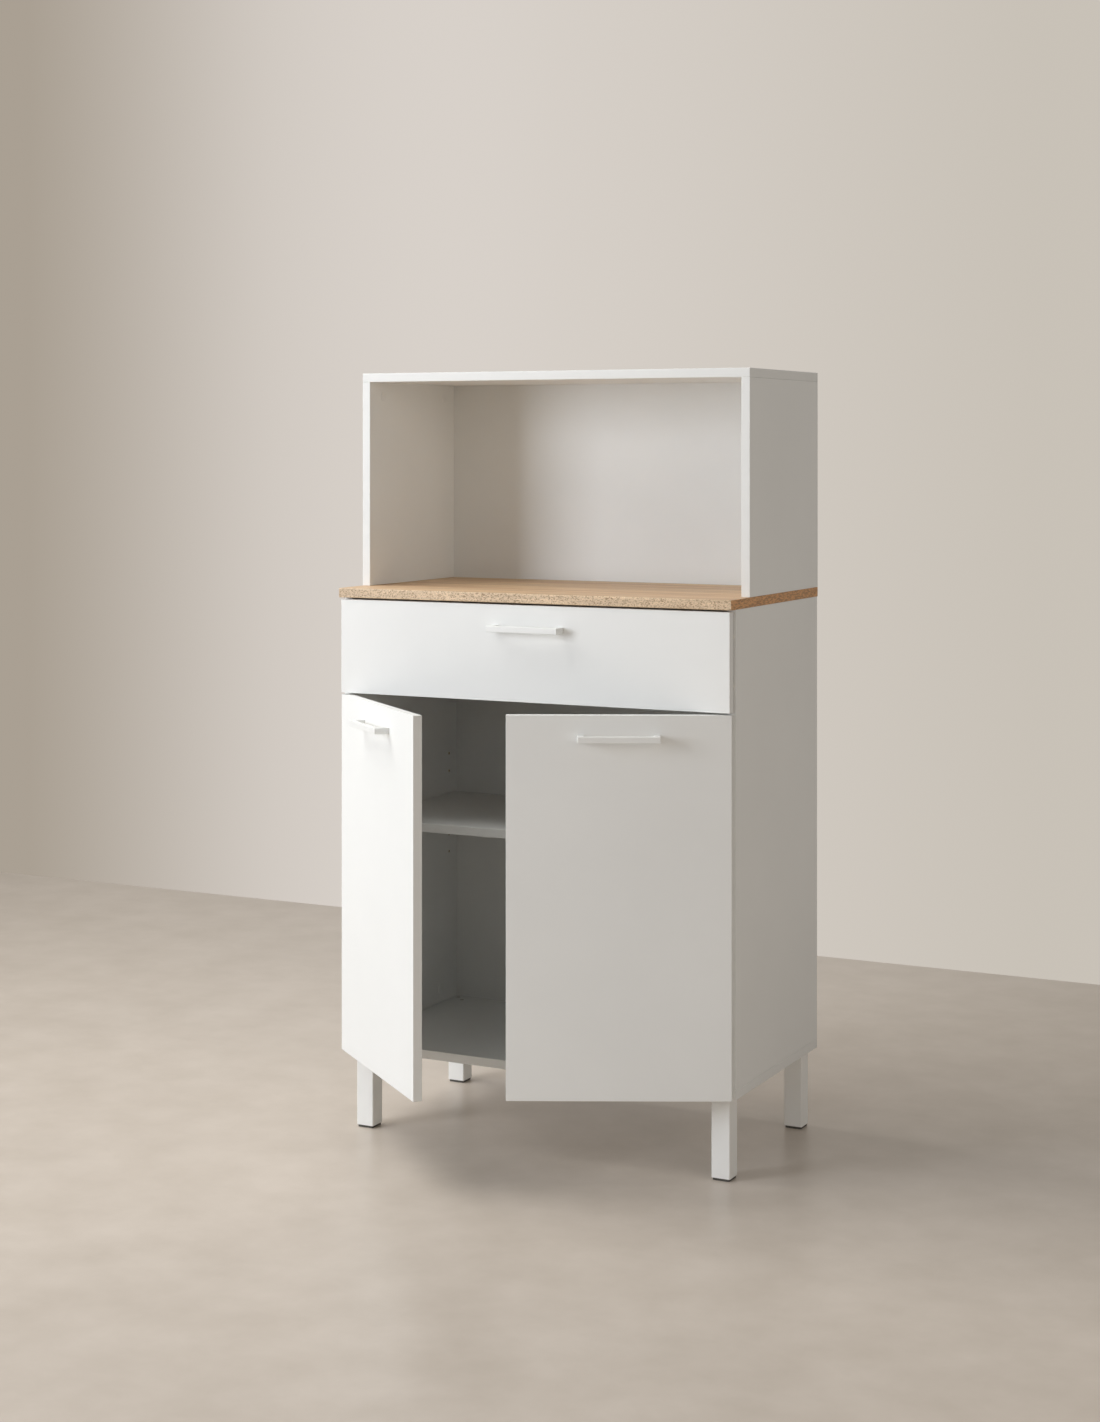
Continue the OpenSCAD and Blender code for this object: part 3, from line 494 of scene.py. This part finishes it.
def copy_of(node, name):
    """A merged copy of a solid's loose triangles, with its flat faces made whole."""
    source = frame["nodes"][node]
    piece = bpy.data.objects.new(name, source.data.copy())
    bpy.context.scene.collection.objects.link(piece)
    piece.data.materials.clear()
    activate(piece)
    bpy.ops.object.mode_set(mode="EDIT")
    bpy.ops.mesh.select_all(action="SELECT")
    bpy.ops.mesh.remove_doubles(threshold=MERGE_GAP)
    bpy.ops.mesh.dissolve_limited(angle_limit=FLAT_ANGLE)
    bpy.ops.object.mode_set(mode="OBJECT")
    return piece


def copied_mesh(node):
    """The merged mesh of a solid, with no object left behind."""
    piece = copy_of(node, "measured")
    mesh = piece.data
    bpy.data.objects.remove(piece)
    return mesh


def settle(piece, node):
    """Gives a piece to its body and lets it stand for its solid."""
    deselect()
    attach(piece, frame["nodes"][node]["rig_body"])
    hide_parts(node)


def own_axes(node):
    """The turn that brings a piece's own axes onto the frame's: a door stands open by its joint."""
    body = frame["nodes"][node]["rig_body"]
    joint = next((j for j in frame["joints"] if j["name"] == DOOR_JOINTS.get(body)), None)
    if joint is None:
        return Matrix.Identity(3)
    return Matrix.Rotation(math.radians(joint["range_deg"][0]), 3, Vector(joint["axis"]))


def extremes(points):
    """The lowest and highest corner of some points."""
    low = Vector([min(p[axis] for p in points) for axis in range(3)])
    high = Vector([max(p[axis] for p in points) for axis in range(3)])
    return low, high


def sides_touched(point, low, high):
    """Which of a box's six sides a point lies on."""
    return {(axis, end) for axis in range(3) for end, corner in ((0, low), (1, high))
            if abs(point[axis] - corner[axis]) < NEAR}


def select_edges(piece, wanted):
    """Selects the edges for which wanted(edge) is true."""
    mesh = bmesh.from_edit_mesh(piece.data)
    bpy.ops.mesh.select_mode(type="EDGE")
    bpy.ops.mesh.select_all(action="DESELECT")
    for edge in mesh.edges:
        edge.select_set(wanted(edge))
    bmesh.update_edit_mesh(piece.data)


def round_outline(piece, node, radius, whole_ends=False):
    """Rounds the edges along a piece's box, in its own axes, and with whole_ends all round its ends."""
    turn = own_axes(node)
    low, high = extremes([turn @ v.co for v in piece.data.vertices])
    activate(piece)
    bpy.ops.object.mode_set(mode="EDIT")

    def on_outline(edge):
        """Whether an edge runs along the box, or round an end where those are wanted."""
        first, second = [sides_touched(turn @ v.co, low, high) for v in edge.verts]
        shared = first & second
        round_end = whole_ends and any(axis == 0 for axis, _ in shared)
        return len(shared) >= 2 or (round_end and edge.calc_face_angle(0) > CORNER_ANGLE)

    select_edges(piece, on_outline)
    bpy.ops.mesh.bevel(offset=radius, offset_type="OFFSET", segments=BEVEL_SEGMENTS, affect="EDGES")
    bpy.ops.object.mode_set(mode="OBJECT")
    # a bevel's corner may reach past the box by a hair, so each point is held inside it
    back = turn.inverted()
    for vertex in piece.data.vertices:
        point = turn @ vertex.co
        held = Vector([min(max(point[axis], low[axis]), high[axis]) for axis in range(3)])
        if (held - point).length > NEAR / 10:
            vertex.co = back @ held


def smooth(piece):
    """Smooth shading in which the large faces stay flat and the small ones turn."""
    activate(piece)
    bpy.ops.object.shade_smooth_by_angle(angle=SMOOTH_ANGLE)
    bpy.ops.object.modifier_add(type="WEIGHTED_NORMAL")
    piece.modifiers[-1].keep_sharp = True
    bpy.ops.object.modifier_apply(modifier=piece.modifiers[-1].name)


def board_faces(piece, node, names):
    """Gives a board its face, edging and core materials, and a fourth of painted shade for its ends if
    one is named.
    """
    for name in names:
        piece.data.materials.append(material(name))
    turn = own_axes(node)
    low, high = extremes([turn @ v.co for v in piece.data.vertices])
    size = high - low
    thin = min(range(3), key=lambda axis: size[axis])
    for face in piece.data.polygons:
        centre = turn @ face.center
        normal = turn @ face.normal
        on_face = min(centre[thin] - low[thin], high[thin] - centre[thin]) < NEAR
        on_edge = any(min(centre[axis] - low[axis], high[axis] - centre[axis]) < EDGING_RIM
                      for axis in range(3) if axis != thin)
        looks_out = abs(normal[thin]) > 0.9
        on_shaded_end = abs(normal.x) > 0.7
        if on_face and looks_out:
            face.material_index = 0
        elif on_edge:
            # a fourth material on the ends is, on the oak top, a darker brown of painted shade
            face.material_index = 3 if len(names) > 3 and on_shaded_end else 1
        else:
            face.material_index = 2


def loose_parts(mesh):
    """The points of each loose part of a mesh."""
    group = list(range(len(mesh.vertices)))

    def first(index):
        """The point that stands for the part that a point is in."""
        while group[index] != index:
            group[index] = group[group[index]]
            index = group[index]
        return index

    for edge in mesh.edges:
        group[first(edge.vertices[0])] = first(edge.vertices[1])
    parts = {}
    for vertex in mesh.vertices:
        parts.setdefault(first(vertex.index), []).append(vertex.co.copy())
    return list(parts.values())


def screw_head(points):
    """A screw's head: the middle of its face, the way that it looks, and its radius."""
    cloud = numpy.array([list(point) for point in points])
    middle = (cloud.max(axis=0) + cloud.min(axis=0)) / 2
    directions = numpy.linalg.svd(cloud - cloud.mean(axis=0))[2]
    axis = directions[0]
    along = (cloud - middle) @ axis
    ends = []
    for sign in (-1, 1):
        ring = cloud[along * sign > (along * sign).max() - NEAR]
        centre = ring.mean(axis=0)
        ends.append((numpy.linalg.norm(ring - centre, axis=1).max(), centre, axis * sign))
    radius, centre, outward = max(ends, key=lambda end: end[0])
    return Vector(centre), Vector(outward), float(radius)


def joined(pieces, name):
    """Several pieces as one, its place applied to its mesh."""
    deselect()
    for piece in pieces:
        piece.select_set(True)
    bpy.context.view_layer.objects.active = pieces[0]
    bpy.ops.object.join()
    whole = bpy.context.object
    whole.name = name
    bpy.ops.object.transform_apply(location=True, rotation=True, scale=True)
    return whole


def cut(piece, cutter):
    """Takes a cutter out of a piece and deletes the cutter."""
    activate(piece)
    bpy.ops.object.modifier_add(type="BOOLEAN")
    modifier = piece.modifiers[-1]
    modifier.operation = "DIFFERENCE"
    modifier.solver = "EXACT"
    modifier.object = cutter
    bpy.ops.object.modifier_apply(modifier=modifier.name)
    bpy.data.objects.remove(cutter)


def cross_recesses(piece, depth):
    """Presses a cross into the head of each screw in a piece, one arm after the other."""
    arm_length, arm_width = 1.2, 0.26
    heads = [screw_head(points) for points in loose_parts(piece.data)]
    for arm in (0, 90):
        bars = []
        for centre, outward, radius in heads:
            turn = outward.to_track_quat("Z", "Y") @ Quaternion((0, 0, 1), math.radians(arm))
            deselect()
            bpy.ops.mesh.primitive_cube_add(
                size=1, location=centre, rotation=turn.to_euler(),
                scale=(arm_length * radius, arm_width * radius, 2 * depth))
            bars.append(bpy.context.object)
        cut(piece, joined(bars, "recess_bars"))


class CABINET_OT_boards(bpy.types.Operator):
    """Edges and dresses the white boards"""

    bl_idname = "cabinet.boards"
    bl_label = "White boards"

    def execute(self, context):
        for node in BOARDS:
            piece = copy_of(node, node + "_board")
            round_outline(piece, node, context.scene.cabinet_finish.board_edge)
            board_faces(piece, node, ("melamine", "edging", "core"))
            smooth(piece)
            settle(piece, node)
        return {"FINISHED"}


class CABINET_OT_oak_top(bpy.types.Operator):
    """Edges and dresses the oak top"""

    bl_idname = "cabinet.oak_top"
    bl_label = "Oak top"

    def execute(self, context):
        piece = copy_of("countertop", "oak_top")
        round_outline(piece, "countertop", context.scene.cabinet_finish.board_edge, whole_ends=True)
        # the fourth finish, for the ends, is darker as painted shade
        board_faces(piece, "countertop", ("oak", "oak_edge", "core", "shaded_oak_end"))
        smooth(piece)
        settle(piece, "countertop")
        return {"FINISHED"}


class CABINET_OT_back_panels(bpy.types.Operator):
    """Dresses the back panels and the drawer's bottom: painted inside, bare outside"""

    bl_idname = "cabinet.back_panels"
    bl_label = "Back panels"

    def execute(self, context):
        for node in BACKS:
            piece = copy_of(node, node + "_panel")
            piece.data.materials.append(material("back"))
            piece.data.materials.append(material("hardboard"))
            outside = Vector((0, 0, -1)) if node == "drawer_bottom" else Vector((0, 1, 0))
            for face in piece.data.polygons:
                inside = face.normal.dot(outside) < -0.9
                face.material_index = 0 if inside else 1
            smooth(piece)
            settle(piece, node)
        return {"FINISHED"}


class CABINET_OT_legs(bpy.types.Operator):
    """Dresses the legs and their glides"""

    bl_idname = "cabinet.legs"
    bl_label = "Legs and glides"

    def execute(self, context):
        for node in LEGS:
            plain_piece(node, node + "_post", "lacquer")
        plain_piece("leg_glides", "glides", "glide")
        return {"FINISHED"}


class CABINET_OT_handles(bpy.types.Operator):
    """Rounds and dresses the bar handles"""

    bl_idname = "cabinet.handles"
    bl_label = "Bar handles"

    def execute(self, context):
        for node in HANDLES:
            piece = copy_of(node, node + "_bar")
            low, high = extremes([v.co for v in piece.data.vertices])
            activate(piece)
            bpy.ops.object.mode_set(mode="EDIT")

            def on_rim(edge):
                """Whether an edge bounds the handle's flat top or bottom."""
                flat = [min(abs(v.co.z - low.z), abs(v.co.z - high.z)) < NEAR for v in edge.verts]
                return all(flat) and edge.calc_face_angle(0) > CORNER_ANGLE

            select_edges(piece, on_rim)
            bpy.ops.mesh.bevel(offset=context.scene.cabinet_finish.handle_edge,
                               offset_type="OFFSET", segments=BEVEL_SEGMENTS, affect="EDGES")
            bpy.ops.object.mode_set(mode="OBJECT")
            piece.data.materials.append(material("powder"))
            smooth(piece)
            settle(piece, node)
        return {"FINISHED"}


def plain_piece(node, name, finish):
    """Makes a solid's merged copy in one material, and settles it."""
    piece = copy_of(node, name)
    piece.data.materials.append(material(finish))
    smooth(piece)
    settle(piece, node)


class CABINET_OT_hinges(bpy.types.Operator):
    """Dresses the hinges and the shelf's pins"""

    bl_idname = "cabinet.hinges"
    bl_label = "Hinges and shelf pins"

    def execute(self, context):
        for node in HINGES:
            plain_piece(node, node + "_steel", "nickel")
        return {"FINISHED"}


class CABINET_OT_runners(bpy.types.Operator):
    """Dresses the drawer's runners, rollers and buffers"""

    bl_idname = "cabinet.runners"
    bl_label = "Runners and rollers"

    def execute(self, context):
        for node in RUNNERS:
            plain_piece(node, node + "_track", "powder")
        for node in ROLLERS:
            plain_piece(node, node + "_wheel", "nylon")
        plain_piece("buffers", "soft_buffers", "nylon")
        return {"FINISHED"}


class CABINET_OT_fixings(bpy.types.Operator):
    """Dresses the screws, cams, nails and dowels"""

    bl_idname = "cabinet.fixings"
    bl_label = "Fixings"

    def execute(self, context):
        for node in SCREWS:
            piece = copy_of(node, node + "_set")
            cross_recesses(piece, context.scene.cabinet_finish.recess_depth)
            piece.data.materials.append(material("nickel"))
            smooth(piece)
            settle(piece, node)
        for node in CAMS:
            plain_piece(node, node + "_set", "nickel")
        plain_piece("dowels", "dowels_set", "beech")
        return {"FINISHED"}


class CABINET_OT_cam_caps(bpy.types.Operator):
    """Covers the cams with white caps"""

    bl_idname = "cabinet.cam_caps"
    bl_label = "Cam caps"

    def execute(self, context):
        finish = context.scene.cabinet_finish
        rim = 0.4 * finish.cap_thickness
        for node, body in (("cam_housings", "carcass"), ("drawer_cam_housings", "drawer")):
            caps = []
            for points in loose_parts(copied_mesh(node)):
                low, high = extremes(points)
                middle = (low + high) / 2
                upright = high.z - low.z < high.x - low.x
                inward = Vector((0, 0, -1)) if upright else Vector((-math.copysign(1, middle.x), 0, 0))
                reach = (high.z - low.z if upright else high.x - low.x) / 2
                deselect()
                bpy.ops.mesh.primitive_cylinder_add(
                    vertices=48, radius=finish.cap_radius, depth=finish.cap_thickness,
                    location=middle + inward * (reach + finish.cap_thickness / 2),
                    rotation=inward.to_track_quat("Z", "Y").to_euler())
                caps.append(bpy.context.object)
            whole = joined(caps, node.replace("housings", "caps"))
            activate(whole)
            bpy.ops.object.mode_set(mode="EDIT")
            select_edges(whole, lambda edge: edge.calc_face_angle(0) > CORNER_ANGLE)
            bpy.ops.mesh.bevel(offset=rim, segments=BEVEL_SEGMENTS, affect="EDGES")
            bpy.ops.object.mode_set(mode="OBJECT")
            whole.data.materials.append(material("cap"))
            smooth(whole)
            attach(whole, body)
        return {"FINISHED"}


# Stage

def stage_floor(stage):
    """A plain pale floor, which ends where the wall of a room would stand."""
    width, length = 24, 12
    rear = cad_box[1].y + stage.wall_behind
    bpy.ops.mesh.primitive_plane_add(size=1, location=(0, rear - length / 2, 0))
    floor = bpy.context.object
    floor.name = "floor"
    floor.scale = (width, length, 1)
    bpy.ops.object.transform_apply(scale=True)
    screed, tree, shader = new_material("pale_floor", Roughness=0.34, IOR=1.45)
    clouds = grain(tree, object_space(tree), 900 * MM, detail=4)
    spots = grain(tree, object_space(tree), 120 * MM, detail=5, roughness=0.6)
    colour = ramp(tree, clouds, (0.3, shaded(stage.floor, 0.94)), (0.7, stage.floor))
    tone = ramp(tree, spots, (0.3, linear("#F2F1EF")), (0.7, linear("#FFFFFF")))
    tree.links.new(mixed(tree, 1.0, colour, tone, blend="MULTIPLY"), shader.inputs["Base Color"])
    bumped(tree, shader, spots, 0.4 * MM, strength=0.3)
    floor.data.materials.append(screed)


def stage_world(stage):
    """An even fill light; cameras, gloss and glass see instead a backdrop with painted shade to the left
    and right.
    """
    world = bpy.data.worlds.new("studio")
    bpy.context.scene.world = world
    world.use_nodes = True
    tree = world.node_tree
    tree.nodes.clear()
    path = add_node(tree, "ShaderNodeLightPath")
    seen = add_node(tree, "ShaderNodeMath", settings={"operation": "MAXIMUM"},
                    inputs={0: path.outputs["Is Camera Ray"], 1: path.outputs["Is Glossy Ray"]})
    seen = add_node(tree, "ShaderNodeMath", settings={"operation": "MAXIMUM"},
                    inputs={0: seen.outputs[0], 1: path.outputs["Is Transmission Ray"]})
    fill = add_node(tree, "ShaderNodeBackground",
                    inputs={"Color": linear("#FAF8F5"), "Strength": stage.fill})
    direction = add_node(tree, "ShaderNodeTexCoord").outputs["Generated"]
    level = add_node(tree, "ShaderNodeVectorMath", settings={"operation": "MULTIPLY"},
                     inputs={0: direction, 1: (1, 1, 0)})
    level = add_node(tree, "ShaderNodeVectorMath", settings={"operation": "NORMALIZE"},
                     inputs={0: level.outputs[0]})
    sideways = add_node(tree, "ShaderNodeSeparateXYZ", inputs={0: level.outputs[0]})
    # painted shade: the backdrop is lightest a little left of the middle and darkens towards the left and
    # right
    far_left, far_right = -0.63, -0.26
    place = add_node(tree, "ShaderNodeMapRange",
                     inputs={"Value": sideways.outputs["X"], "From Min": far_left, "From Max": far_right})
    wall = ramp(tree, place.outputs["Result"], (0.0, stage.backdrop_left_shade), (0.22, stage.backdrop),
                (0.5, stage.backdrop), (1.0, stage.backdrop_right_shade), interpolation="B_SPLINE")
    backdrop = add_node(tree, "ShaderNodeBackground", inputs={"Color": wall, "Strength": 1.0})
    mix = add_node(tree, "ShaderNodeMixShader",
                   inputs={0: seen.outputs[0], 1: fill.outputs[0], 2: backdrop.outputs[0]})
    output = add_node(tree, "ShaderNodeOutputWorld")
    tree.links.new(mix.outputs[0], output.inputs["Surface"])


def area_light(name, place, size, power, colour):
    """A rectangular light that shines at the cabinet's middle."""
    middle = Vector((0, 0, 0.7))
    bpy.ops.object.light_add(type="AREA", location=place)
    light = bpy.context.object
    light.name = name
    light.data.shape = "RECTANGLE"
    light.data.size, light.data.size_y = size
    light.data.energy = power
    light.data.color = linear(colour)[:3]
    light.visible_camera = False
    light.rotation_euler = (light.location - middle).to_track_quat("Z", "Y").to_euler()


def stage_light(stage):
    """A large window light, a wall's soft bounce from the right, and a broad ceiling light."""
    area_light("window_light", place=(-2.18, -2.7, 1.45), size=(1.3, 1.5),
               power=stage.window, colour="#F2F7FF")
    area_light("bounce_light", place=(2.8, -1.9, 1.5), size=(2.0, 1.4),
               power=stage.bounce, colour="#FFF1E3")
    area_light("ceiling_light", place=(-1.8, -0.4, 3.2), size=(2.2, 2.2),
               power=stage.ceiling, colour="#FCFBF8")


def stage_camera(stage):
    """The photograph's own viewpoint: level, with the picture shifted down."""
    level = math.radians(90)
    bpy.ops.object.camera_add(location=stage.camera_at, rotation=(level, 0, stage.camera_turn))
    camera = bpy.context.object
    camera.data.lens = stage.lens
    camera.data.shift_y = stage.frame_drop
    bpy.context.scene.camera = camera


class CABINET_OT_stage(bpy.types.Operator):
    """Sets the floor, the backdrop, the light and the camera"""

    bl_idname = "cabinet.stage"
    bl_label = "Stage"

    def execute(self, context):
        stage = context.scene.cabinet_stage
        context.scene.view_settings.view_transform = "Standard"
        stage_floor(stage)
        stage_world(stage)
        stage_light(stage)
        stage_camera(stage)
        return {"FINISHED"}


STEPS = [
    CABINET_OT_boards, CABINET_OT_oak_top, CABINET_OT_back_panels, CABINET_OT_legs,
    CABINET_OT_handles, CABINET_OT_hinges, CABINET_OT_runners, CABINET_OT_fixings,
    CABINET_OT_cam_caps, CABINET_OT_stage,
]


class CABINET_PT_finishes(bpy.types.Panel):
    """Lists the finishing steps and their settings"""

    bl_idname = "CABINET_PT_finishes"
    bl_label = "Kitchen cabinet"
    bl_space_type = "VIEW_3D"
    bl_region_type = "UI"
    bl_category = "Cabinet"

    def draw(self, context):
        for step in STEPS:
            self.layout.operator(step.bl_idname)
        for group in (context.scene.cabinet_finish, context.scene.cabinet_stage):
            for name in group.bl_rna.properties.keys():
                if name not in ("rna_type", "name"):
                    self.layout.prop(group, name)


CLASSES = [CabinetFinish, CabinetStage, *STEPS, CABINET_PT_finishes]


def register():
    """Registers the classes and gives each scene its settings."""
    for cls in CLASSES:
        bpy.utils.register_class(cls)
    bpy.types.Scene.cabinet_finish = PointerProperty(type=CabinetFinish)
    bpy.types.Scene.cabinet_stage = PointerProperty(type=CabinetStage)


def unregister():
    """Takes the settings and the classes away again."""
    del bpy.types.Scene.cabinet_stage
    del bpy.types.Scene.cabinet_finish
    for cls in reversed(CLASSES):
        bpy.utils.unregister_class(cls)


def main():
    """Dresses and stages the cabinet."""
    register()
    bpy.ops.cabinet.boards()
    bpy.ops.cabinet.oak_top()
    bpy.ops.cabinet.back_panels()
    bpy.ops.cabinet.legs()
    bpy.ops.cabinet.handles()
    bpy.ops.cabinet.hinges()
    bpy.ops.cabinet.runners()
    bpy.ops.cabinet.fixings()
    bpy.ops.cabinet.cam_caps()
    bpy.ops.cabinet.stage()


if __name__ == "__main__":
    main()
